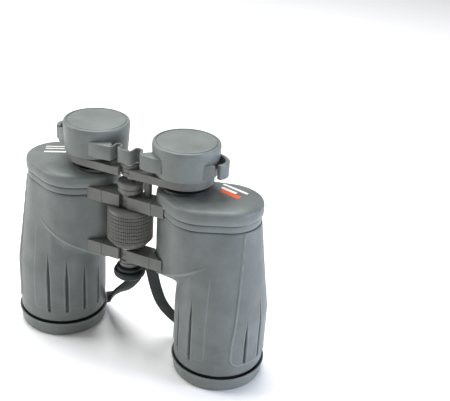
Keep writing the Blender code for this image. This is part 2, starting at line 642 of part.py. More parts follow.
def smooth_route(points, count):
    """Reads evenly spaced points from a smooth curve through the given ones."""
    def knot(index):
        if index < 0:
            return 2 * points[0] - points[1]
        if index >= len(points):
            return 2 * points[-1] - points[-2]
        return points[index]
    route = []
    for step in range(count):
        place = step * (len(points) - 1) / (count - 1)
        index = min(int(place), len(points) - 2)
        t = place - index
        a, b, c, d = (knot(index + shift) for shift in (-1, 0, 1, 2))
        route.append(0.5 * (2 * b + (c - a) * t + (2 * a - 5 * b + 4 * c - d) * t * t
                            + (3 * b - a - 3 * c + d) * t ** 3))
    return route


for body_name, body_side in SIDES:
    body_parent = RIGHT_BODY if body_side < 0 else None
    eye_parent = RIGHT_EYEPIECE if body_side < 0 else BRIDGE
    objective_cap(body_name, body_side, body_parent)
    rainguard_cap(body_name, body_side, eye_parent)

# The link between the caps: a band on edge, folded like a W so that it stretches with the eye spacing.
LINK_MIDDLE_Z = 152.0 * MM
link_plan = [(-18.8, -19.9), (-10.6, -21.6), (-10.2, -14.0), (-6.4, -14.0), (-6.0, -20.6), (3.3, -21.0),
             (3.9, -13.4), (8.2, -13.8), (10.2, -20.6), (18.8, -19.9)]
link_route = [Vector((x * MM, y * MM, LINK_MIDDLE_Z)) for x, y in link_plan]
ribbon("rainguard_link", link_route, [Vector((0, 0, 1))] * len(link_route), 10 * MM, 1.6 * MM, SOFT_RUBBER)

# The tethers: flat bands from the ring under the hinge to the back of each objective cap. They
# leave the ring facing the hinge axis and turn on edge to lie against the wall of the cap.
LEFT_TETHER = [(7.0, -1.8, 68.5), (9.0, 0.8, 61.0), (12.0, 3.5, 44.0), (15.5, 8.0, 29.0), (23.0, 13.5, 17.0),
               (33.0, 20.0, 9.5), (41.5, 24.4, 6.0)]
RIGHT_TETHER = [(-3.0, -1.8, 68.5), (-2.0, 1.0, 60.0), (-4.0, 2.5, 50.0), (-12.0, 6.5, 38.0),
                (-23.0, 11.5, 26.0), (-34.5, 19.0, 13.0), (-42.5, 25.4, 6.0)]
TETHER_STEPS = 16
TETHER_TOP_WAY = Vector((1, 0.15, 0.35))
TETHER_FOOT_WAY = Vector((0, 0.3, 1))
tether_ways = [TETHER_TOP_WAY.lerp(TETHER_FOOT_WAY, smooth(step / (TETHER_STEPS - 1), 0.55, 1))
               for step in range(TETHER_STEPS)]
for strap_name, strap_points in (("left_tether_strap", LEFT_TETHER), ("right_tether_strap", RIGHT_TETHER)):
    strap_route = smooth_route([Vector(point) * MM for point in strap_points], TETHER_STEPS)
    ribbon(strap_name, strap_route, tether_ways, STRAP_WIDTH, STRAP_THICK, STRAP_RUBBER)
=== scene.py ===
"""Rubber-armoured Porro prism binoculars on a white table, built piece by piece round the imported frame.

Sizes are in millimetres and are turned to metres where a mesh is made. The user's left barrel is
on +X, the hinge side faces -Y, and the capped objectives stand on the floor at Z = 0.
"""
import json
import math

import bmesh
import bpy
import numpy as np
from mathutils import Matrix, Vector

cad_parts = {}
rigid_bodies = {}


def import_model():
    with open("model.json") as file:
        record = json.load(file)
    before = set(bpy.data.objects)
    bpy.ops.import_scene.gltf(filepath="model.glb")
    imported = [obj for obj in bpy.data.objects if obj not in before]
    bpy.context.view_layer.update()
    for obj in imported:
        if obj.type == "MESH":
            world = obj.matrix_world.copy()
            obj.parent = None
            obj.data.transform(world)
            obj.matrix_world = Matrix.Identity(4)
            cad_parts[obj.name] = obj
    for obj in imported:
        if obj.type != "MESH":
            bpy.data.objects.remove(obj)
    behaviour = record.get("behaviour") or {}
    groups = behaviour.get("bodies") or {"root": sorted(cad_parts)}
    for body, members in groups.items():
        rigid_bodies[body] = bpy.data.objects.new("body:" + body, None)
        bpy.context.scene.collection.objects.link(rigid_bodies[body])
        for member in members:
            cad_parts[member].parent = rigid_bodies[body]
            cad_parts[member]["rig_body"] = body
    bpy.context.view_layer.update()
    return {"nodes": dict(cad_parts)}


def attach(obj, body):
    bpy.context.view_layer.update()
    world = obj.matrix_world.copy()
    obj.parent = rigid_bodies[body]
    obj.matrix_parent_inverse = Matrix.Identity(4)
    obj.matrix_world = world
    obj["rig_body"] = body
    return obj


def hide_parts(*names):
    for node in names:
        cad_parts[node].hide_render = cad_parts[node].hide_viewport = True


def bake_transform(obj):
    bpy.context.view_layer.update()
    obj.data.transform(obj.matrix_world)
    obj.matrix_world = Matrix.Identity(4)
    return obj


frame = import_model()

# --- Table, light and camera ----------------------------------------------------------------------
# A seamless white table under large soft boxes, named as seen from the camera. The strongest hangs
# overhead, the key stands on the -X side, and a cool one low on the +X side edges that barrel.

MM = 0.001
scene = bpy.context.scene
scene.view_settings.view_transform = "Standard"


def srgb(code):
    """Linear RGBA of an sRGB hex code."""
    parts = [int(code[start:start + 2], 16) / 255 for start in (0, 2, 4)]
    return (*[part / 12.92 if part <= 0.04045 else ((part + 0.055) / 1.055) ** 2.4 for part in parts], 1)


def add_node(tree, kind, settings=None, links=None):
    """Adds one shader node; settings go to its sockets or its own properties, links to its sockets."""
    made = tree.nodes.new("ShaderNode" + kind)
    for name, value in (settings or {}).items():
        if isinstance(name, int) or name in made.inputs:
            made.inputs[name].default_value = value
        else:
            setattr(made, name, value)
    for name, source in (links or {}).items():
        tree.links.new(source, made.inputs[name])
    return made


def new_material(name, settings):
    """An empty material with its Principled shader; the constants sit on the shader's own sockets."""
    made = bpy.data.materials.new(name)
    made.use_nodes = True
    shader = made.node_tree.nodes["Principled BSDF"]
    for socket, value in settings.items():
        shader.inputs[socket].default_value = value
    return made, made.node_tree, shader


def make_piece(name, bm, material, body, nodes=(), sharp=35):
    """Turns a bmesh into a piece that rides on a body and takes its finish from a slot."""
    mesh = bpy.data.meshes.new(name)
    bm.to_mesh(mesh)
    bm.free()
    mesh.shade_smooth()
    if sharp:
        mesh.set_sharp_from_angle(angle=math.radians(sharp))
    mesh.materials.append(material)
    piece = bpy.data.objects.new(name, mesh)
    scene.collection.objects.link(piece)
    if body:
        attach(piece, body)
    if nodes:
        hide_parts(*nodes)
    return piece


table_finish, _, _ = new_material("matt_white_laminate", {"Base Color": srgb("FCFCFC"), "Roughness": 0.85})
bm = bmesh.new()
bmesh.ops.create_grid(bm, x_segments=1, y_segments=1, size=6)
table = make_piece("table", bm, table_finish, None)
table.location.z = -0.05 * MM

world = bpy.data.worlds.new("white_studio")
scene.world = world
world.use_nodes = True
world.node_tree.nodes["Background"].inputs["Color"].default_value = srgb("FFFFFF")
world.node_tree.nodes["Background"].inputs["Strength"].default_value = 0.3


BINOCULARS_MIDDLE = Vector((0, 0, 80 * MM))


def soft_box(name, place, size, power, tint="FFFFFF"):
    """A square area light of a size in metres and a power in watts, aimed at the binoculars' middle."""
    light = bpy.data.lights.new(name, "AREA")
    light.size = size
    light.energy = power
    light.color = srgb(tint)[:3]
    lamp = bpy.data.objects.new(name, light)
    lamp.location = place
    lamp.rotation_euler = (BINOCULARS_MIDDLE - Vector(place)).to_track_quat("-Z", "Y").to_euler()
    scene.collection.objects.link(lamp)


soft_box("key_left", (-1.0, -0.35, 0.7), 0.5, 8.5)
soft_box("overhead", (-0.25, 0.25, 1.25), 0.8, 19.5)
soft_box("rim_right", (1.05, 0.12, 0.32), 0.35, 9.5, "DDE6FF")
soft_box("front_fill", (0.4, -1.1, 0.5), 0.8, 1.2)

camera_lens = bpy.data.cameras.new("camera")
camera_lens.lens = 68.617
camera_lens.sensor_width = 36
camera = bpy.data.objects.new("camera", camera_lens)
AZIMUTH, ELEVATION, ROLL = math.radians(23.09), math.radians(26.76), math.radians(4.07)
ahead = Vector((-math.sin(AZIMUTH) * math.cos(ELEVATION), math.cos(AZIMUTH) * math.cos(ELEVATION),
                -math.sin(ELEVATION)))
level = Vector((math.cos(AZIMUTH), math.sin(AZIMUTH), 0))
upright = level.cross(ahead)
camera_x = math.cos(ROLL) * level + math.sin(ROLL) * upright
camera_y = math.cos(ROLL) * upright - math.sin(ROLL) * level
camera.matrix_world = (Matrix.Translation(Vector((254.18, -451.6, 376.34)) * MM)
                       @ Matrix((camera_x, camera_y, -ahead)).transposed().to_4x4())
scene.collection.objects.link(camera)
scene.camera = camera


# --- Armour skins ---------------------------------------------------------------------------------
# Each body wears one skin of thermoplastic rubber, moulded over the casting. It follows the
# barrel, swells over a ledge into the prism housing, and has two grip panels with finger grooves.

BARREL_X, BARREL_RADIUS, SHOULDER_RADIUS = 64.0, 30.8, 22.4
HINGE_SIDE = (33.0, -4.0, 16.0)         # x, y and radius of the housing's round corner by the hinge
FRONT_BULGE = (49.0, -5.4, 24.0)
FOOT_Z, FLARE_Z, SEAM_Z = 12.2, 52.0, 117.0
LEDGE_FACING, LEDGE_LOW_Z, LEDGE_CLIMB, LEDGE_TOP_Z = math.radians(176), 62.0, 19.0, 95.0
SKIN_WALL = 1.8
SIDES = (("left", 1), ("right", -1))


CLOUD_SIZE = 14.0
# Tones mixed into the moulded finishes: a pale one for edge wear and painted highlight on raised edges, a
# dark one for painted shade in grooves and gaps.
WEAR_AND_HIGHLIGHT_TONE, PAINTED_SHADE_TONE = "A2A8A8", "2A302F"


def moulded_finish(name, dark, light, roughness, grain, relief):
    """Rubber or nylon from a spark-eroded mould: a fine even grain and a soft cloudiness in its
    colour. One mesh attribute paints it paler along raised edges, as edge wear and painted highlight,
    and another darkens it with painted shade in grooves and gaps."""
    made, tree, shader = new_material(name, {"IOR": 1.52, "Roughness": roughness,
                                             "Specular IOR Level": 0.35})
    place = add_node(tree, "TexCoord").outputs["Object"]
    cloud = add_node(tree, "TexNoise", {"Scale": 1 / (CLOUD_SIZE * MM), "Detail": 4}, {"Vector": place})
    speck = add_node(tree, "TexNoise", {"Scale": 1 / (grain * MM), "Detail": 2}, {"Vector": place})
    blend = add_node(tree, "Math", {"operation": "MULTIPLY_ADD", 1: 0.35},
                     {0: speck.outputs["Fac"], 2: cloud.outputs["Fac"]})
    tone = add_node(tree, "ValToRGB", links={"Fac": blend.outputs[0]})
    tone.color_ramp.elements[0].position, tone.color_ramp.elements[0].color = 0.45, srgb(dark)
    tone.color_ramp.elements[1].position, tone.color_ramp.elements[1].color = 0.9, srgb(light)
    bump = add_node(tree, "Bump", {"Strength": 1.0, "Distance": relief * MM},
                    {"Height": speck.outputs["Fac"]})
    colour = tone.outputs["Color"]
    for attribute, code in (("wear_and_highlight", WEAR_AND_HIGHLIGHT_TONE), ("painted_shade", PAINTED_SHADE_TONE)):
        amount = add_node(tree, "Attribute", {"attribute_name": attribute})
        mixed = add_node(tree, "MixRGB", {"Color2": srgb(code)},
                         {"Fac": amount.outputs["Fac"], "Color1": colour})
        colour = mixed.outputs["Color"]
    tree.links.new(colour, shader.inputs["Base Color"])
    tree.links.new(bump.outputs["Normal"], shader.inputs["Normal"])
    return made


# Thermoplastic rubber, grain about 0.5 mm so that it shows: a dull grey-green with a soft sheen.
armour_rubber = moulded_finish("moulded_thermoplastic_rubber", "5E6461", "6F7573", 0.45, 0.5, 0.03)


def cone_radius(z):
    return np.interp(z, (FLARE_Z, SEAM_Z), (BARREL_RADIUS, SHOULDER_RADIUS))


def hull_radius(angles, centre, circles, grow=0.0):
    """Distance from a centre to the hull round some circles, in each direction."""
    turns = np.linspace(0, math.tau, 360, endpoint=False)
    reach = np.max([(x - centre[0]) * np.cos(turns) + (y - centre[1]) * np.sin(turns) + radius + grow
                    for x, y, radius in circles], axis=0)
    facing = np.cos(angles[:, None] - turns[None, :])
    return np.min(np.where(facing > 0.1, reach[None, :] / np.maximum(facing, 0.1), np.inf), axis=1)


def housing_radius(angles, heights):
    """The housing wall in each direction, at one height for each direction or at many."""
    levels = np.array((FLARE_Z, 68, 84, 100, SEAM_Z))
    walls = np.array([hull_radius(angles, (BARREL_X, 0), (HINGE_SIDE, FRONT_BULGE,
                                                         (BARREL_X, 0, cone_radius(level))))
                      for level in levels])
    place = np.clip(np.interp(heights, levels, np.arange(len(levels))), 0, len(levels) - 1.001)
    index = place.astype(int)
    columns = np.arange(len(angles)) if np.ndim(heights) < 2 else np.arange(len(angles))[:, None]
    below, above = walls[index, columns], walls[index + 1, columns]
    return below + (above - below) * (place - index)


def smooth(value, low, high):
    t = np.clip((value - low) / (high - low), 0, 1)
    return t * t * (3 - 2 * t)


def apart(angles, middle):
    """Signed angle from a direction, in degrees."""
    return (np.degrees(angles) - middle + 180) % 360 - 180


# Finger grooves: direction in degrees from the barrel's outer side, foot and top of each.
INNER_GROOVES = ((-105, 20, 71), (-129, 20, 68), (-153, 20, 63), (-177, 20, 55))
OUTER_GROOVES = ((-31.5, 21, 58), (-7.5, 21, 70), (18, 21, 78), (42, 21, 78), (66, 21, 70), (90, 21, 58))
PANEL_HEIGHT, INNER_FOOT, OUTER_FOOT = 0.6, 22.0, 19.5
GROOVE_DEPTH, GROOVE_WIDTH, BEAD_HEIGHT, LIP_HEIGHT = 1.3, 1.25, 0.35, 0.65
INNER_EDGES, OUTER_FACING = (-83.0, -205.0), 36.0


def packed_angles(count):
    """Directions round the barrel, closer together at the grooves and on the side by the hinge."""
    fine = np.linspace(-math.pi, math.pi, 7201)
    weight = 1 + 0.8 * np.exp(-(apart(fine, 180) / 60) ** 2)
    for groove, _, _ in INNER_GROOVES + OUTER_GROOVES:
        weight += 4.0 * np.exp(-(apart(fine, groove) / 1.8) ** 2)
    for edge in (*INNER_EDGES, -47, 119):
        weight += 2.0 * np.exp(-(apart(fine, edge) / 3.5) ** 2)
    total = np.concatenate(([0], np.cumsum((weight[1:] + weight[:-1]) / 2)))
    return np.interp(np.linspace(0, total[-1], count, endpoint=False), total, fine)


def armour_relief(angles, z, ledge, near_hinge):
    """How far each point of the skin stands proud, how much paler it is painted for edge wear and
    painted highlight, and how much painted shade it gets in a groove.
    """
    mm_per_degree = BARREL_RADIUS * math.pi / 180
    relief, wear_and_highlight, painted_shade = np.zeros_like(z), np.zeros_like(z), np.zeros_like(z)
    # each panel: how far in from its edges and up from its foot, its corners, and how crisp it is;
    # the inner one stands between two upright edges and fades out under the ledge
    middle = (INNER_EDGES[0] + INNER_EDGES[1]) / 2
    half = (INNER_EDGES[0] - INNER_EDGES[1]) / 2 * mm_per_degree
    across = half - np.abs(apart(angles, middle)) * mm_per_degree
    panels = [(across, z - INNER_FOOT, 5.0, 0.3 * (1 - smooth(z, ledge - 16, ledge - 5)))]
    # outer panel: its edges lean outwards towards the top
    lean = np.interp(z, (37, 85, 117), (-52, -43, -36))
    half = (OUTER_FACING - lean) * mm_per_degree
    panels.append((half - np.abs(apart(angles, OUTER_FACING)) * mm_per_degree, z - OUTER_FOOT, 7.0, 1.0))
    for across, rise, corner, marked in panels:
        a, b = np.minimum(across - corner, 0), np.minimum(rise - corner, 0)
        inside = corner - np.hypot(a, b)
        inside = np.where((across < 0) | (rise < 0), -1, inside)
        relief = np.maximum(relief, PANEL_HEIGHT * np.minimum(1, 2.3 * marked) * smooth(inside, 0, 0.9))
        bead = np.where(inside > -0.5, np.exp(-((inside - 0.8) / 0.5) ** 2), 0)
        relief = relief + bead * BEAD_HEIGHT * marked
        # the bead along each panel's edge is painted paler, as edge wear and painted highlight
        wear_and_highlight = np.maximum(wear_and_highlight, bead * 0.4 * marked)
    for groove, foot, top in INNER_GROOVES + OUTER_GROOVES:
        away = np.abs(apart(angles, groove)) * mm_per_degree
        width = GROOVE_WIDTH * np.clip((top - z) / 22, 0.25, 1)
        depth = GROOVE_DEPTH * smooth(z, foot - 0.6, foot + 0.8) * smooth(top - z, 0, 16)
        relief -= depth * (1 - smooth(away, 0.15 * width, width))
        relief += 0.2 * depth * np.exp(-((away - 1.35 * width) / 0.45) ** 2)
        # painted shade down each groove, darkest along its middle
        painted_shade = np.maximum(painted_shade, depth / GROOVE_DEPTH * 0.75 * (1 - smooth(away, 0.3 * width, width)))
        # each groove's rims are painted paler, as edge wear and painted highlight
        rim = np.exp(-((away - 1.4 * width) / 0.4) ** 2)
        wear_and_highlight = np.maximum(wear_and_highlight, depth / GROOVE_DEPTH * 0.22 * rim)
    # a rounded lip along the ledge, where the skin is doubled; its crest is painted paler, as edge wear and
    # painted highlight
    lip = np.exp(-((z - ledge - 0.3) / 1.2) ** 2) * (1 - smooth(near_hinge, math.radians(72), 1.75))
    return relief + LIP_HEIGHT * lip, np.maximum(wear_and_highlight, 0.38 * lip ** 2), painted_shade


def armour_points(angles):
    """Outer and inner rows of the skin in millimetres from the barrel's axis, for the left body."""
    near_hinge = np.abs(apart(angles, math.degrees(LEDGE_FACING))) * math.pi / 180
    ledge = np.minimum(LEDGE_LOW_Z + LEDGE_CLIMB * near_hinge, LEDGE_TOP_Z)
    edge_radius = housing_radius(angles, ledge)
    neck_radius = np.minimum(BARREL_RADIUS, edge_radius)
    overhang = edge_radius - neck_radius
    slope = 0.1 + 1.1 * smooth(near_hinge, math.radians(20), math.radians(70))
    drop = 1 + overhang * slope
    corner = ledge - drop

    def barrel(z):
        rise = np.clip((z - FLARE_Z) / (ledge[:, None] - FLARE_Z), 0, 1)
        return BARREL_RADIUS + (neck_radius[:, None] - BARREL_RADIUS) * rise

    ones = np.ones(len(angles))
    low = np.concatenate((np.linspace(FOOT_Z, 14.5, 5)[:-1], np.linspace(14.5, 31, 38)[:-1],
                          np.linspace(31, FLARE_Z - 6, 14)))
    heights = [ones * z for z in low]
    heights += [FLARE_Z - 6 + (corner - FLARE_Z + 6) * t for t in np.linspace(0, 1, 24)[1:]]
    straight = len(heights)
    heights += [corner + drop * t for t in np.linspace(0, 1, 13)[1:]]
    wall = len(heights)
    heights += [ledge + (SEAM_Z - ledge) * t ** 1.35 for t in np.linspace(0, 1, 34)[1:]]
    z = np.array(heights).T
    radius = np.empty_like(z)
    radius[:, :straight] = barrel(z[:, :straight])
    share = (z[:, straight:wall] - corner[:, None]) / drop[:, None]
    radius[:, straight:wall] = neck_radius[:, None] + overhang[:, None] * share
    radius[:, wall:] = housing_radius(angles, z[:, wall:])
    # soft corners: each column is relaxed along its own length near the ledge
    for _ in range(7):
        for grid in (radius, z):
            span = slice(straight - 7, wall + 7)
            grid[:, span] = (grid[:, span.start - 1:span.stop - 1] + 2 * grid[:, span]
                             + grid[:, span.start + 1:span.stop + 1]) / 4
    relief, wear_and_highlight, painted_shade = armour_relief(angles[:, None], z, ledge[:, None], near_hinge[:, None])
    radius = radius + relief
    # painted shade in the gap at the skin's foot, just above the cap's rim
    painted_shade[:, 0] = 0.6
    radius[:, 0] -= 0.4
    radius[:, 1] -= 0.15
    radius[:, -1] -= 0.35
    inset_edge = housing_radius(angles, ledge + SKIN_WALL) - SKIN_WALL
    inner = [(housing_radius(angles, ones * SEAM_Z) - SKIN_WALL, ones * SEAM_Z),
             (inset_edge, ledge + SKIN_WALL), (neck_radius - SKIN_WALL, corner + SKIN_WALL),
             (ones * (BARREL_RADIUS - SKIN_WALL), ones * FLARE_Z),
             (ones * (BARREL_RADIUS - SKIN_WALL), ones * FOOT_Z)]
    radius = np.concatenate((radius, np.array([pair[0] for pair in inner]).T), axis=1)
    z = np.concatenate((z, np.array([pair[1] for pair in inner]).T), axis=1)
    hidden = np.zeros((len(angles), len(inner)))
    return radius, z, {"wear_and_highlight": np.concatenate((wear_and_highlight, hidden), axis=1),
                       "painted_shade": np.concatenate((painted_shade, hidden), axis=1)}


def spun_tube(columns, rows):
    """A closed tube of rows and columns, spun from one loop; the row is each vertex's tag."""
    bm = bmesh.new()
    loop = [bm.verts.new((2 + math.cos(math.tau * row / rows), 0, math.sin(math.tau * row / rows)))
            for row in range(rows)]
    edges = [bm.edges.new((loop[row], loop[(row + 1) % rows])) for row in range(rows)]
    bmesh.ops.spin(bm, geom=loop + edges, cent=(0, 0, 0), axis=(0, 0, 1), steps=columns, angle=math.tau,
                   use_merge=True)
    return bm


def shaped_tube(x, y, z, side, marks):
    """Moves a spun tube's vertices to the given grids of places and gives them their attributes."""
    columns, rows = x.shape
    bm = spun_tube(columns, rows)
    layers = {name: bm.verts.layers.float.new(name) for name in marks}
    for vert in bm.verts:
        spin = math.atan2(vert.co.y, vert.co.x) % math.tau
        out = math.hypot(vert.co.x, vert.co.y) - 2
        column = round(spin / math.tau * columns) % columns
        row = round(math.atan2(vert.co.z, out) % math.tau / math.tau * rows) % rows
        vert.co = (side * x[column, row] * MM, y[column, row] * MM, z[column, row] * MM)
        for name, layer in layers.items():
            vert[layer] = marks[name][column, row]
    bmesh.ops.recalc_face_normals(bm, faces=bm.faces)
    return bm


skin_angles = packed_angles(320)
skin_radius, skin_z, skin_marks = armour_points(skin_angles)
skin_x = BARREL_X + skin_radius * np.cos(skin_angles)[:, None]
skin_y = skin_radius * np.sin(skin_angles)[:, None]
for side_name, side in SIDES:
    make_piece(side_name + "_armour_skin", shaped_tube(skin_x, skin_y, skin_z, side, skin_marks),
               armour_rubber, side_name + "_body", (side_name + "_armour",), sharp=None)


# --- Prism covers ---------------------------------------------------------------------------------
# The lid of each housing is a casting with the same rubber moulded over it: a belt round its foot,
# a stouter band above, and a pillowed top with a hole where the eyepiece goes in.

COVER_FOOT_Z, COVER_TOP_Z = SEAM_Z + 0.3, 132.5
EYE_X, EYE_Y, HINGE_Y = 33.5, -1.8, -13.4
COVER_HOLE = 12.6
COVER_MIDDLE = (48.0, -2.0)


def cover_grids(columns=240):
    angles = np.linspace(0, math.tau, columns, endpoint=False)
    circles = (HINGE_SIDE, FRONT_BULGE, (BARREL_X, 0, SHOULDER_RADIUS))
    # how far each row stands out from the housing's outline, and its height
    wall = [(-1.0, 0.0), (-0.3, 0.12), (0.0, 0.5), (0.1, 1.2), (0.15, 3.6), (0.1, 4.3), (-0.25, 4.75),
            (-0.3, 5.0), (0.3, 5.25), (0.85, 5.7), (1.05, 6.5), (1.0, 9.5), (0.85, 11.6)]
    round_edge = [(0.85 - 5.6 * (1 - math.cos(turn)), 11.6 + 3.0 * math.sin(turn))
                  for turn in np.linspace(0.12, math.pi / 2 * 0.93, 9)]
    rows_x, rows_y, rows_z = [], [], []
    for out, rise in wall + round_edge:
        radius = hull_radius(angles, COVER_MIDDLE, circles, out)
        rows_x.append(COVER_MIDDLE[0] + radius * np.cos(angles))
        rows_y.append(COVER_MIDDLE[1] + radius * np.sin(angles))
        rows_z.append(np.full(columns, COVER_FOOT_Z + rise))
    rim_x, rim_y, rim_z = rows_x[-1], rows_y[-1], rows_z[-1][0]
    hole_x, hole_y = EYE_X + COVER_HOLE * np.cos(angles), EYE_Y + COVER_HOLE * np.sin(angles)
    for share in np.linspace(0, 1, 12)[1:]:
        rows_x.append(rim_x + (hole_x - rim_x) * share)
        rows_y.append(rim_y + (hole_y - rim_y) * share)
        rows_z.append(np.full(columns, rim_z + (COVER_TOP_Z - rim_z) * math.sin(share * math.pi / 2)))
    under = COVER_TOP_Z - 2
    inside = hull_radius(angles, COVER_MIDDLE, circles, -3.7)
    inside_x = COVER_MIDDLE[0] + inside * np.cos(angles)
    inside_y = COVER_MIDDLE[1] + inside * np.sin(angles)
    for x, y, z in ((hole_x, hole_y, under), (inside_x, inside_y, under), (inside_x, inside_y, COVER_FOOT_Z)):
        rows_x.append(x)
        rows_y.append(y)
        rows_z.append(np.full(columns, z))
    wear_and_highlight, painted_shade = np.zeros((columns, len(rows_x))), np.zeros((columns, len(rows_x)))
    # the band's lower edge and the belt's foot are painted paler, as edge wear and painted highlight
    wear_and_highlight[:, 9:11] = 0.16
    wear_and_highlight[:, 2:4] = 0.1
    # painted shade in the groove between belt and band, and in the seam gap at the foot
    painted_shade[:, 6:8] = 0.45
    painted_shade[:, :2] = 0.8
    return np.array(rows_x).T, np.array(rows_y).T, np.array(rows_z).T, {"wear_and_highlight": wear_and_highlight, "painted_shade": painted_shade}


cover_x, cover_y, cover_z, cover_marks = cover_grids()
for side_name, side in SIDES:
    make_piece(side_name + "_cover", shaped_tube(cover_x, cover_y, cover_z, side, cover_marks),
               armour_rubber, side_name + "_body", (side_name + "_prism_cover",), sharp=50)


# --- Objective caps -------------------------------------------------------------------------------
# Soft rubber cups pushed over the barrels' spigots. A thin lip runs round the rim, and the foot
# is rounded where the mould parts.

CAP_RADIUS, CAP_HEIGHT, CAP_WALL = 31.5, 10.9, 2.0
# A softer rubber than the armour, injection moulded: a little smoother and lighter.
soft_rubber = moulded_finish("injection_moulded_soft_rubber", "646A67", "757B78", 0.42, 0.45, 0.02)


def rounded(corners, steps=5):
    """A profile of (radius, height, rounding) corners in millimetres with each corner rounded off."""
    points = []
    count = len(corners)
    for index, (x, z, size) in enumerate(corners):
        here = Vector((x, z))
        if size == 0 or index in (0, count - 1):
            points.append(here)
            continue
        before = (Vector(corners[index - 1][:2]) - here).normalized()
        after = (Vector(corners[index + 1][:2]) - here).normalized()
        for step in range(steps + 1):
            t = step / steps
            points.append(here + before * size * (1 - t) ** 2 + after * size * t ** 2)
    return points


def turned(profile, centre, steps=96, closed=False):
    """Spins a profile of (radius, height) points in millimetres round an upright axis."""
    bm = bmesh.new()
    verts = [bm.verts.new((point[0] * MM, 0, point[1] * MM)) for point in profile]
    edges = [bm.edges.new(pair) for pair in zip(verts, verts[1:])]
    if closed:
        edges.append(bm.edges.new((verts[-1], verts[0])))
    bmesh.ops.spin(bm, geom=verts + edges, cent=(0, 0, 0), axis=(0, 0, 1), steps=steps, angle=math.tau,
                   use_merge=True)
    bmesh.ops.remove_doubles(bm, verts=bm.verts, dist=0.002 * MM)
    bmesh.ops.recalc_face_normals(bm, faces=bm.faces)
    bmesh.ops.translate(bm, verts=bm.verts, vec=Vector(centre) * MM)
    return bm


cap_profile = rounded(((0, CAP_WALL, 0), (CAP_RADIUS - CAP_WALL, CAP_WALL, 0.5),
                       (CAP_RADIUS - CAP_WALL, CAP_HEIGHT - 1.8, 0.3), (CAP_RADIUS + 0.1, CAP_HEIGHT, 0.3),
                       (CAP_RADIUS + 0.8, CAP_HEIGHT, 0.4), (CAP_RADIUS + 0.7, CAP_HEIGHT - 1.3, 0.5),
                       (CAP_RADIUS - 0.3, CAP_HEIGHT - 2.2, 0.5),
                       (CAP_RADIUS - 0.8, 0, 2.4), (26, 0, 0.4), (25.4, 0.35, 0.3), (0, 0.35, 0)))
for side_name, side in SIDES:
    make_piece(side_name + "_objective_cap_cup", turned(cap_profile, (side * BARREL_X, 0, 0), 144),
               soft_rubber, side_name + "_objective_cap_body",
               (side_name + "_objective_cap",), sharp=50)


# --- Hinge arms -----------------------------------------------------------------------------------
# Four flat-faced bars of glass-filled nylon reach from the housings to the axle, where each pair
# interleaves as a knuckle. Their edges are only lightly broken, as they leave the mould.

# Glass-filled nylon, moulded: warm dark grey with a faint mottle and a satin face.
hinge_plastic = moulded_finish("moulded_glass_filled_nylon", "5A5B57", "6A6B66", 0.38, 0.7, 0.015)


EDGE_ANGLE = math.radians(40)


def from_node(name, node, material, width):
    """A copy of a frame part with its edges rounded, standing for that part."""
    part = frame["nodes"][node]
    bm = bmesh.new()
    bm.from_mesh(part.data)
    bmesh.ops.remove_doubles(bm, verts=bm.verts, dist=0.01 * MM)
    bmesh.ops.dissolve_limit(bm, angle_limit=math.radians(1.5), verts=bm.verts, edges=bm.edges)
    piece = make_piece(name, bm, material, part["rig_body"], (node,))
    rounding = piece.modifiers.new("rounding", "BEVEL")
    rounding.width = width * MM
    rounding.segments = 2
    rounding.limit_method = "ANGLE"
    rounding.angle_limit = EDGE_ANGLE
    return piece


for side_name, side in SIDES:
    for level_name in ("upper", "lower"):
        from_node(f"{side_name}_{level_name}_hinge_arm", f"{side_name}_{level_name}_arm", hinge_plastic,
                  0.45)


def block(bm, low, high):
    """Adds a box between two corners in millimetres."""
    size, middle = Vector(high) - Vector(low), (Vector(high) + Vector(low)) / 2
    return bmesh.ops.create_cube(bm, size=1, matrix=Matrix.Translation(middle * MM)
                                 @ Matrix.Diagonal((*(size * MM), 1)))["verts"]


def break_edges(bm, width):
    """Rounds every edge that turns by more than the edge angle."""
    sharp = [edge for edge in bm.edges if edge.is_manifold and edge.calc_face_angle(0) > EDGE_ANGLE]
    bmesh.ops.bevel(bm, geom=sharp, offset=width * MM, segments=2, profile=0.5, affect="EDGES",
                    material=-1, clamp_overlap=True)


# Each arm ends in a thin flange where it is screwed to the housing, just proud of the bar.
ARM_HEIGHT, ARM_FRONT, ARM_BACK, FLANGE_PROUD = 8.5, 8.0, 5.0, 0.3
for side_name, side in SIDES:
    for level_name, low in (("upper", 115.5), ("lower", 75.5)):
        bm = bmesh.new()
        near, far = sorted((side * 17.6, side * 19.4))
        block(bm, (near, HINGE_Y - ARM_FRONT - FLANGE_PROUD, low - FLANGE_PROUD),
              (far, HINGE_Y + ARM_BACK + FLANGE_PROUD, low + ARM_HEIGHT + FLANGE_PROUD))
        break_edges(bm, 0.35)
        make_piece(f"{side_name}_{level_name}_arm_flange", bm, hinge_plastic, side_name + "_body")


# --- Focus wheel ----------------------------------------------------------------------------------
# A nylon wheel that turns on the hinge tube. Rows of small raised blocks are moulded round it for
# grip, under a plain shoulder, and its foot tapers in to the washer.

WHEEL_RADIUS, WHEEL_FOOT_Z, WHEEL_TOP_Z = 14.9, 87.2, 114.5
AXLE_BORE = 4.6
GRIP_ROWS, GRIP_COLUMNS = 8, 76

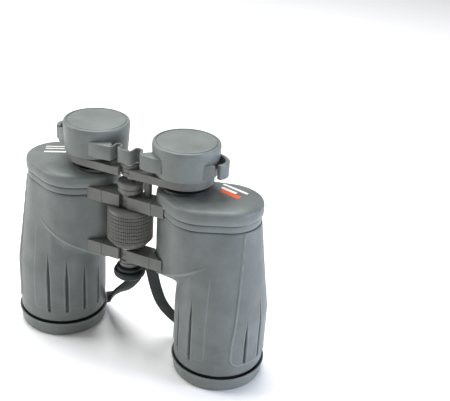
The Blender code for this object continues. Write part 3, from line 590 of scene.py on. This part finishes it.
wheel_side = np.linspace(WHEEL_FOOT_Z + 4.2, WHEEL_TOP_Z - 2.4, GRIP_ROWS + 1)
wheel_profile = [(AXLE_BORE, WHEEL_FOOT_Z), (WHEEL_RADIUS - 3.6, WHEEL_FOOT_Z),
                 (WHEEL_RADIUS - 3.0, WHEEL_FOOT_Z + 0.3), (WHEEL_RADIUS - 0.6, WHEEL_FOOT_Z + 3.2)]
wheel_profile += [(WHEEL_RADIUS, z) for z in wheel_side]
wheel_profile += [(WHEEL_RADIUS + 0.35, WHEEL_TOP_Z - 2.1), (WHEEL_RADIUS + 0.4, WHEEL_TOP_Z - 1.3),
                  (WHEEL_RADIUS - 0.2, WHEEL_TOP_Z - 0.4), (WHEEL_RADIUS - 1.2, WHEEL_TOP_Z),
                  (9.5, WHEEL_TOP_Z), (9.0, WHEEL_TOP_Z - 0.6), (AXLE_BORE, WHEEL_TOP_Z - 0.6)]
bm = turned(wheel_profile, (0, HINGE_Y, 0), GRIP_COLUMNS, closed=True)
grip = [face for face in bm.faces
        if wheel_side[0] * MM < face.calc_center_median().z < wheel_side[-1] * MM
        and math.hypot(face.calc_center_median().x, face.calc_center_median().y - HINGE_Y * MM)
        > (WHEEL_RADIUS - 0.5) * MM]
bmesh.ops.inset_individual(bm, faces=grip, thickness=0.26 * MM, depth=0.5 * MM, use_even_offset=True)
# Nylon as on the arms, worn a little smoother by the finger.
wheel_plastic = moulded_finish("moulded_nylon_wheel", "565753", "666762", 0.4, 0.6, 0.01)
make_piece("focus_wheel_grip", bm, wheel_plastic, "focus_wheel_body", ("focus_wheel",), 25)


# --- Hinge collar, nut, ring and cap --------------------------------------------------------------
# Turned rings on the axle: a stepped collar under the bridge, the nut that clamps the lower
# knuckles, a rubber ring that both tethers hang from, and the cap of the tripod socket.

collar_profile = rounded(((AXLE_BORE, 124.4, 0), (7.2, 124.4, 0.3), (7.2, 125.6, 0.2), (8.6, 126.0, 0.3),
                          (8.6, 128.6, 0.2), (8.2, 128.8, 0.1), (8.2, 129.4, 0.1), (8.8, 129.6, 0.3),
                          (8.8, 133.0, 0.8), (AXLE_BORE, 133.0, 0)))
make_piece("hinge_collar", turned(collar_profile, (0, HINGE_Y, 0), 96, closed=True), hinge_plastic,
           "left_body", ("collar",))
nut_profile = rounded(((AXLE_BORE, 69.5, 0), (6.4, 69.5, 0.4), (7.1, 70.6, 0.4), (7.1, 72.6, 0.2),
                       (6.6, 72.8, 0.1), (6.6, 73.4, 0.1), (7.1, 73.6, 0.3), (7.1, 75.1, 0.4),
                       (AXLE_BORE, 75.1, 0)))
make_piece("knuckle_nut", turned(nut_profile, (0, HINGE_Y, 0), 96, closed=True), hinge_plastic,
           "left_body", ("hinge_nut",))
# Moulded strap rubber: almost black and matt, with a grain of about 0.6 mm.
strap_rubber = moulded_finish("moulded_strap_rubber", "161C1B", "222827", 0.5, 0.6, 0.03)
eyelet_profile = rounded(((AXLE_BORE, 66.7, 0), (9, 66.7, 0.7), (9, 69.1, 0.7), (AXLE_BORE, 69.1, 0)))
make_piece("tether_eyelet", turned(eyelet_profile, (0, HINGE_Y, 0), 96, closed=True), strap_rubber,
           "left_body", ("tether_ring",))
socket_cap_profile = rounded(((0, 60.35, 0), (8.6, 60.35, 0.5), (9.2, 61.2, 0.3), (10.6, 62.4, 0.4),
                              (10.9, 65.0, 0.4), (10.3, 66.25, 0.5), (3, 66.25, 0.2), (3, 69.5, 0),
                              (0, 69.5, 0)))
make_piece("tripod_socket_cap", turned(socket_cap_profile, (0, HINGE_Y, 0), 96), strap_rubber,
           "tripod_cap_body", ("tripod_cap",))
post_profile = rounded(((0, 124.4, 0), (2.6, 124.4, 0.2), (2.6, 134.3, 0.4), (0, 134.3, 0)))
make_piece("bridge_guide_post", turned(post_profile, (12, HINGE_Y + 1.5, 0), 48), hinge_plastic,
           "left_body", ("guide_post",))


# --- Eyepiece bridge ------------------------------------------------------------------------------
# Two nylon arms that ring the eyepiece tubes and interleave over the spindle, under a round hub cap.

hub_profile = rounded(((0, 146.1, 0), (6.6, 146.1, 1.0), (6.9, 144.8, 0.3), (6.9, 143.6, 0.2),
                       (3.3, 143.6, 0), (3.3, 145.0, 0), (0, 145.0, 0)))
for side_name, side in SIDES:
    from_node(side_name + "_eyepiece_arm", side_name + "_bridge_arm", hinge_plastic, 0.55)
make_piece("hub_button", turned(hub_profile, (0, HINGE_Y, 0), 96), hinge_plastic, "eyepiece_bridge",
           ("hub_cap",))


# --- Eyecups and diopter ring ---------------------------------------------------------------------
# Fold-down rubber cups round the eye lenses. The right-hand one stands on a ribbed ring that
# trims the focus of that eye.

EYECUP_FOOT_Z, EYECUP_TOP_Z, TUBE_BORE = 145.4, 161.8, 11.3
DIOPTER_RIBS = 60
for side_name, side in SIDES:
    foot = EYECUP_FOOT_Z + (4.7 if side < 0 else 0)
    cup_profile = rounded(((TUBE_BORE, foot, 0), (17.4, foot, 0.4), (17.6, foot + 2, 0.2),
                           (17.9, EYECUP_TOP_Z - 4, 0.3), (18.4, EYECUP_TOP_Z - 3, 0.3),
                           (18.4, EYECUP_TOP_Z, 0.6), (16.7, EYECUP_TOP_Z, 0.6),
                           (15.9, foot + 2.6, 0.5), (TUBE_BORE, foot + 2.6, 0)))
    body = "eyepiece_bridge" if side > 0 else "right_eyepiece"
    make_piece(side_name + "_eye_cup", turned(cup_profile, (side * EYE_X, EYE_Y, 0), 96, closed=True),
               soft_rubber, body, (side_name + "_eyecup",))
ring_profile = [(TUBE_BORE, 145.5), (16.6, 145.5), (17.1, 145.9), (17.1, 149.3), (16.6, 149.7),
                (TUBE_BORE, 149.7)]
bm = turned(ring_profile, (-EYE_X, EYE_Y, 0), DIOPTER_RIBS, closed=True)
ribs = [face for face in bm.faces if abs(face.normal.z) < 0.1
        and math.hypot(face.calc_center_median().x + EYE_X * MM, face.calc_center_median().y - EYE_Y * MM)
        > 16.8 * MM]
bmesh.ops.inset_individual(bm, faces=ribs, thickness=0.35 * MM, depth=0.4 * MM)
make_piece("ribbed_diopter_ring", bm, hinge_plastic, "diopter", ("diopter_ring",), 25)


# --- Rain guard -----------------------------------------------------------------------------------
# Two soft rubber caps cover the eyecups. Each has a split loop on its outer side for the neck
# strap, and a stout horn on its inner side, and a folded band joins the horns.

GUARD_FOOT_Z, GUARD_TOP_Z = 143.8, 164.4
GUARD_RADIUS, GUARD_BORE, GUARD_CEILING = 22.3, 18.7, 162.1
LOOP_Z, LOOP_HEIGHT = 146.0, 10.0
LOOP_TIP, LOOP_LENGTH, LOOP_WIDTH = 29.8, 20.0, 13.0
guard_profile = rounded(((0, GUARD_CEILING, 0), (GUARD_BORE, GUARD_CEILING, 0.6),
                         (GUARD_BORE, GUARD_FOOT_Z, 0.3), (GUARD_RADIUS - 1.2, GUARD_FOOT_Z, 0.5),
                         (GUARD_RADIUS - 0.1, GUARD_TOP_Z - 3.2, 1.2),
                         (GUARD_RADIUS - 0.4, GUARD_TOP_Z - 0.3, 1.3),
                         (GUARD_RADIUS - 2.1, GUARD_TOP_Z - 0.05, 0.4),
                         (GUARD_RADIUS - 2.35, GUARD_TOP_Z - 0.75, 0.15),
                         (GUARD_RADIUS - 2.8, GUARD_TOP_Z - 0.75, 0.15),
                         (GUARD_RADIUS - 3.1, GUARD_TOP_Z - 0.15, 0.3),
                         (0, GUARD_TOP_Z - 0.05, 0)))


def split_loop():
    """Two curved fingers, spun as quarter turns and drawn out to the loop's long shape."""
    bm = bmesh.new()
    for start, sweep in ((-160, 118), (-30, 165)):
        verts = block(bm, (LOOP_LENGTH - 3, -0.01, LOOP_Z), (LOOP_LENGTH, 0.01, LOOP_Z + LOOP_HEIGHT))
        made = {face for vert in verts for face in vert.link_faces}
        keep = next(face for face in made if face.normal.y < -0.5)
        bmesh.ops.delete(bm, geom=[face for face in made if face is not keep], context="FACES_ONLY")
        corners = [vert for vert in verts if vert.is_valid and vert not in keep.verts]
        bmesh.ops.delete(bm, geom=corners, context="VERTS")
        bmesh.ops.rotate(bm, verts=list(keep.verts), cent=(0, 0, 0),
                         matrix=Matrix.Rotation(math.radians(start), 3, "Z"))
        bmesh.ops.spin(bm, geom=[keep], cent=(0, 0, 0), axis=(0, 0, 1), steps=36,
                       angle=math.radians(sweep))
    bmesh.ops.recalc_face_normals(bm, faces=bm.faces)
    break_edges(bm, 0.5)
    bmesh.ops.transform(bm, verts=bm.verts, matrix=Matrix.Diagonal((1, LOOP_WIDTH / LOOP_LENGTH, 1, 1)))
    bmesh.ops.translate(bm, verts=bm.verts, vec=Vector((EYE_X + LOOP_TIP - LOOP_LENGTH, EYE_Y, 0)) * MM)
    inside = [vert for vert in bm.verts
              if math.hypot(vert.co.x - EYE_X * MM, vert.co.y - EYE_Y * MM) < (GUARD_BORE + 0.3) * MM]
    for vert in inside:
        out = Vector((vert.co.x - EYE_X * MM, vert.co.y - EYE_Y * MM))
        out = out.normalized() * (GUARD_BORE + 0.3) * MM
        vert.co.x, vert.co.y = EYE_X * MM + out.x, EYE_Y * MM + out.y
    return bm


HORN_TOP_Z, HORN_FOOT_Z = 157.0, 147.0


def horn():
    """The horn from the cap's front to the folded band, cut from a flat plate."""
    bm = bmesh.new()
    plan = ((11.0, -22.3), (20.5, -23.6), (27.0, -22.6), (24.0, -19.0), (16.2, -13.6), (11.6, -17.8))
    face = bm.faces.new([bm.verts.new((x * MM, y * MM, HORN_FOOT_Z * MM)) for x, y in plan])
    raised = bmesh.ops.extrude_face_region(bm, geom=[face])["geom"]
    bmesh.ops.translate(bm, verts=[part for part in raised if isinstance(part, bmesh.types.BMVert)],
                        vec=(0, 0, (HORN_TOP_Z - HORN_FOOT_Z) * MM))
    bmesh.ops.recalc_face_normals(bm, faces=bm.faces)
    break_edges(bm, 0.5)
    return bm


def mirrored(bm, side):
    if side < 0:
        bmesh.ops.scale(bm, verts=bm.verts, vec=(-1, 1, 1))
        bmesh.ops.recalc_face_normals(bm, faces=bm.faces)
    return bm


for side_name, side in SIDES:
    body = side_name + "_rainguard"
    guard = turned(guard_profile, (side * EYE_X, EYE_Y, 0), 128)
    make_piece(side_name + "_rain_guard", guard, soft_rubber, body,
               (side_name + "_rainguard_cap",), 50)
    make_piece(side_name + "_strap_loop", mirrored(split_loop(), side), soft_rubber, body)
    make_piece(side_name + "_guard_horn", mirrored(horn(), side), soft_rubber, body)


def made_final(piece):
    """Applies a piece's modifiers to its mesh."""
    mesh = bpy.data.meshes.new_from_object(piece.evaluated_get(bpy.context.evaluated_depsgraph_get()))
    piece.modifiers.clear()
    piece.data = mesh


def band(name, route, across, thickness, material, nodes, steps, rounding):
    """A flat strip: an edge drawn along a route, thickened and with its edges rounded."""
    bm = bmesh.new()
    edge = bm.edges.new([bm.verts.new((Vector(route[0]) + way * across[0]) * MM) for way in (-0.5, 0.5)])
    for place, reach in zip(route[1:], across[1:]):
        drawn = bmesh.ops.extrude_edge_only(bm, edges=[edge])["geom"]
        edge = next(part for part in drawn if isinstance(part, bmesh.types.BMEdge))
        low, high = sorted(edge.verts, key=lambda vert: vert.co.dot(reach))
        low.co, high.co = (Vector(place) - reach / 2) * MM, (Vector(place) + reach / 2) * MM
    bmesh.ops.recalc_face_normals(bm, faces=bm.faces)
    piece = make_piece(name, bm, material, None, nodes, sharp=60)
    thicken = piece.modifiers.new("thickness", "SOLIDIFY")
    thicken.thickness = thickness * MM
    thicken.offset = 0
    thicken.use_even_offset = True
    soften = piece.modifiers.new("rounding", "BEVEL")
    soften.width = rounding * MM
    soften.segments = steps
    soften.limit_method = "ANGLE"
    soften.angle_limit = math.radians(50)
    made_final(piece)
    return piece


def through(points, count):
    """Evenly counted points on a smooth curve through the given ones."""
    ends = [2 * Vector(points[0]) - Vector(points[1]), *map(Vector, points),
            2 * Vector(points[-1]) - Vector(points[-2])]
    route = []
    for step in range(count):
        place = step * (len(points) - 1) / (count - 1)
        index = min(int(place), len(points) - 2)
        t = place - index
        a, b, c, d = ends[index:index + 4]
        route.append(0.5 * (2 * b + (c - a) * t + (2 * a - 5 * b + 4 * c - d) * t * t
                            + (3 * b - a - 3 * c + d) * t ** 3))
    return route


link_plan = [(-14.5, -21.4), (-11.0, -21.6), (-10.3, -19.5), (-10.3, -15.0), (-9.6, -13.9), (-7.0, -13.9),
             (-6.3, -14.8), (-6.1, -19.4), (-5.2, -20.4), (2.6, -21.0), (3.6, -20.2), (3.9, -14.2),
             (4.6, -13.3), (7.6, -13.6), (8.5, -14.5), (10.2, -19.6), (11.4, -20.8), (14.5, -21.2)]
link_route = [Vector((x, y, 152.0)) for x, y in link_plan]
link = band("folded_link", link_route, [Vector((0, 0, 9.7))] * len(link_route), 1.2, soft_rubber,
            ("rainguard_link",), 2, 0.25)
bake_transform(link)


# --- Cap tethers ----------------------------------------------------------------------------------
# Flat rubber straps that keep the objective caps on the binoculars. Both hang from the eyelet under
# the hinge and are moulded to the back of their cap.

LEFT_TETHER = [(7.0, -1.8, 68.5), (9.0, 0.8, 61.0), (12.0, 3.5, 44.0), (15.5, 8.0, 29.0), (23.0, 13.5, 17.0),
               (33.0, 20.0, 9.5), (41.5, 24.4, 6.0)]
RIGHT_TETHER = [(-3.0, -1.8, 68.5), (-2.0, 1.0, 60.0), (-4.0, 2.5, 50.0), (-12.0, 6.5, 38.0),
                (-23.0, 11.5, 26.0), (-34.5, 19.0, 13.0), (-42.5, 25.4, 6.0)]
TETHER_WIDTH, TETHER_THICK = 8.5, 1.8
TETHER_TOP_WAY, TETHER_FOOT_WAY = Vector((1, 0.15, 0.35)), Vector((0, 0.3, 1))


def tether(name, points, nodes, first=0.0, last=1.0, count=61):
    """The stretch of a tether between two shares of its route; it turns on edge towards its foot."""
    route = through(points, count)
    span = range(round(first * (count - 1)), round(last * (count - 1)) + 1)
    across = []
    for index in span:
        along = (route[min(index + 1, count - 1)] - route[max(index - 1, 0)]).normalized()
        way = TETHER_TOP_WAY.lerp(TETHER_FOOT_WAY, float(smooth(index / (count - 1), 0.55, 1)))
        across.append((way - along * way.dot(along)).normalized() * TETHER_WIDTH)
    return band(name, route[span.start:span.stop], across, TETHER_THICK, strap_rubber,
                nodes, 2, 0.35)


left_strap = tether("left_cap_tether", LEFT_TETHER, ("left_tether_strap",))
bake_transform(left_strap)
upper_strap = tether("right_cap_tether_upper", RIGHT_TETHER, ("right_tether_strap",), last=4 / 6)
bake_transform(upper_strap)
lower_strap = tether("right_cap_tether_lower", RIGHT_TETHER, (), first=4 / 6)
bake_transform(lower_strap)


# --- Printed marks --------------------------------------------------------------------------------
# Pad-printed marks on the covers: plain white strips and one plain orange patch. Each is a thin
# film of ink laid on the rubber of the cover.

def ink(name, code):
    """Pad-printing ink: a thin opaque film with faint pinholes, and a satin face."""
    made, tree, shader = new_material(name, {"Roughness": 0.45, "IOR": 1.5})
    place = add_node(tree, "TexCoord").outputs["Object"]
    speck = add_node(tree, "TexNoise", {"Scale": 1 / (0.8 * MM), "Detail": 2}, {"Vector": place})
    tone = add_node(tree, "ValToRGB", links={"Fac": speck.outputs["Fac"]})
    tone.color_ramp.elements[0].position, tone.color_ramp.elements[1].position = 0.3, 0.55
    tone.color_ramp.elements[0].color = tuple(0.75 * part for part in srgb(code)[:3]) + (1,)
    tone.color_ramp.elements[1].color = srgb(code)
    tree.links.new(tone.outputs["Color"], shader.inputs["Base Color"])
    return made


white_ink = ink("pad_printed_white_ink", "F4F2EE")
orange_ink = ink("pad_printed_orange_ink", "E8602A")
INK_PROUD = 0.07


def printed(name, side_name, material, middle, length, height, turn):
    """A strip of ink laid on a cover: a fine grid dropped on its top face."""
    bm = bmesh.new()
    bmesh.ops.create_grid(bm, x_segments=60, y_segments=10, size=0.5)
    bmesh.ops.transform(bm, verts=bm.verts, matrix=Matrix.Translation((middle[0] * MM, middle[1] * MM, 0))
                        @ Matrix.Rotation(math.radians(turn), 4, "Z")
                        @ Matrix.Diagonal((length * MM, height * MM, 1, 1)))
    cover = bpy.data.objects[side_name + "_cover"]
    for vert in bm.verts:
        place = cover.ray_cast((vert.co.x, vert.co.y, 0.2), (0, 0, -1))[1]
        vert.co.z = place.z + INK_PROUD * MM
    make_piece(name, bm, material, side_name + "_body")


RIGHT_MARKS = ((-72.6, 6.4, 13.0, 1.1), (-70.8, 3.2, 13.0, 1.1), (-67.6, -1.4, 15.0, 2.0))
for row, (x, y, length, height) in enumerate(RIGHT_MARKS, 1):
    printed(f"right_cover_mark_{row}", "right", white_ink, (x, y), length, height, 28)
printed("left_cover_mark", "left", white_ink, (63.2, 12.4), 20.0, 2.2, -13)
printed("left_cover_patch_white", "left", white_ink, (60.6, 8.0), 12.0, 2.6, -13)
printed("left_cover_patch_orange", "left", orange_ink, (63.6, 3.4), 15.0, 4.6, -13)


# --- Frame parts that show as they are ------------------------------------------------------------
# Inside the bodies the castings, prisms and lenses keep their frame shapes; the hinge tube, washer
# and spindle do too, and each gets the finish of what it is made of.

def turned_steel():
    """Bright turned steel: rings from the tool, drawn about 2 mm apart so that they show."""
    made, tree, shader = new_material("turned_steel", {"Metallic": 1.0, "Roughness": 0.3})
    place = add_node(tree, "TexCoord").outputs["Object"]
    rings = add_node(tree, "TexWave", {"Scale": 1 / (6 * MM), "Distortion": 0.6, "bands_direction": "Z"},
                     {"Vector": place})
    tone = add_node(tree, "ValToRGB", links={"Fac": rings.outputs["Fac"]})
    tone.color_ramp.elements[0].color, tone.color_ramp.elements[1].color = srgb("8E8C88"), srgb("A6A4A0")
    bump = add_node(tree, "Bump", {"Distance": 0.01 * MM}, {"Height": rings.outputs["Fac"]})
    tree.links.new(tone.outputs["Color"], shader.inputs["Base Color"])
    tree.links.new(bump.outputs["Normal"], shader.inputs["Normal"])
    return made


def black_casting():
    """Die-cast alloy under baked black paint: a fine orange peel and dusty grey highlights."""
    made, tree, shader = new_material("painted_die_casting", {"Roughness": 0.45, "IOR": 1.5})
    place = add_node(tree, "TexCoord").outputs["Object"]
    peel = add_node(tree, "TexNoise", {"Scale": 1 / (0.8 * MM), "Detail": 3}, {"Vector": place})
    tone = add_node(tree, "ValToRGB", links={"Fac": peel.outputs["Fac"]})
    tone.color_ramp.elements[0].color, tone.color_ramp.elements[1].color = srgb("1B1C1C"), srgb("2A2B2B")
    bump = add_node(tree, "Bump", {"Distance": 0.02 * MM}, {"Height": peel.outputs["Fac"]})
    tree.links.new(tone.outputs["Color"], shader.inputs["Base Color"])
    tree.links.new(bump.outputs["Normal"], shader.inputs["Normal"])
    return made


def coated_glass():
    """Crown glass with a magnesium fluoride coating: dark, very smooth, with a violet cast."""
    made, tree, shader = new_material("coated_crown_glass", {"Roughness": 0.03, "IOR": 1.52,
                                                             "Coat Weight": 1.0, "Coat Roughness": 0.02})
    facing = add_node(tree, "LayerWeight", {"Blend": 0.35})
    tone = add_node(tree, "ValToRGB", links={"Fac": facing.outputs["Facing"]})
    tone.color_ramp.elements[0].color, tone.color_ramp.elements[1].color = srgb("1A1526"), srgb("4A3A78")
    tree.links.new(tone.outputs["Color"], shader.inputs["Base Color"])
    return made


FINISHES = {"STEEL": turned_steel(), "CASTING": black_casting(), "GLASS": coated_glass()}
FRAME_PARTS = {"hinge_tube": "STEEL", "wheel_washer": "STEEL", "focus_spindle": "STEEL"}
for side_name, side in SIDES:
    for part, finish in (("prism_housing", "CASTING"), ("objective_barrel", "CASTING"),
                         ("objective_cell", "CASTING"), ("prism_shelf", "CASTING"),
                         ("eyepiece_sleeve", "CASTING"), ("eyepiece_tube", "CASTING"),
                         ("objective_lens", "GLASS"), ("prism_a", "GLASS"), ("prism_b", "GLASS"),
                         ("field_lens", "GLASS"), ("eye_lens", "GLASS")):
        FRAME_PARTS[f"{side_name}_{part}"] = finish
for part, finish in FRAME_PARTS.items():
    node = frame["nodes"][part]
    if not node.material_slots:
        node.data.materials.append(None)
    for finish_slot in node.material_slots:
        finish_slot.link = "OBJECT"
        finish_slot.material = FINISHES[finish]
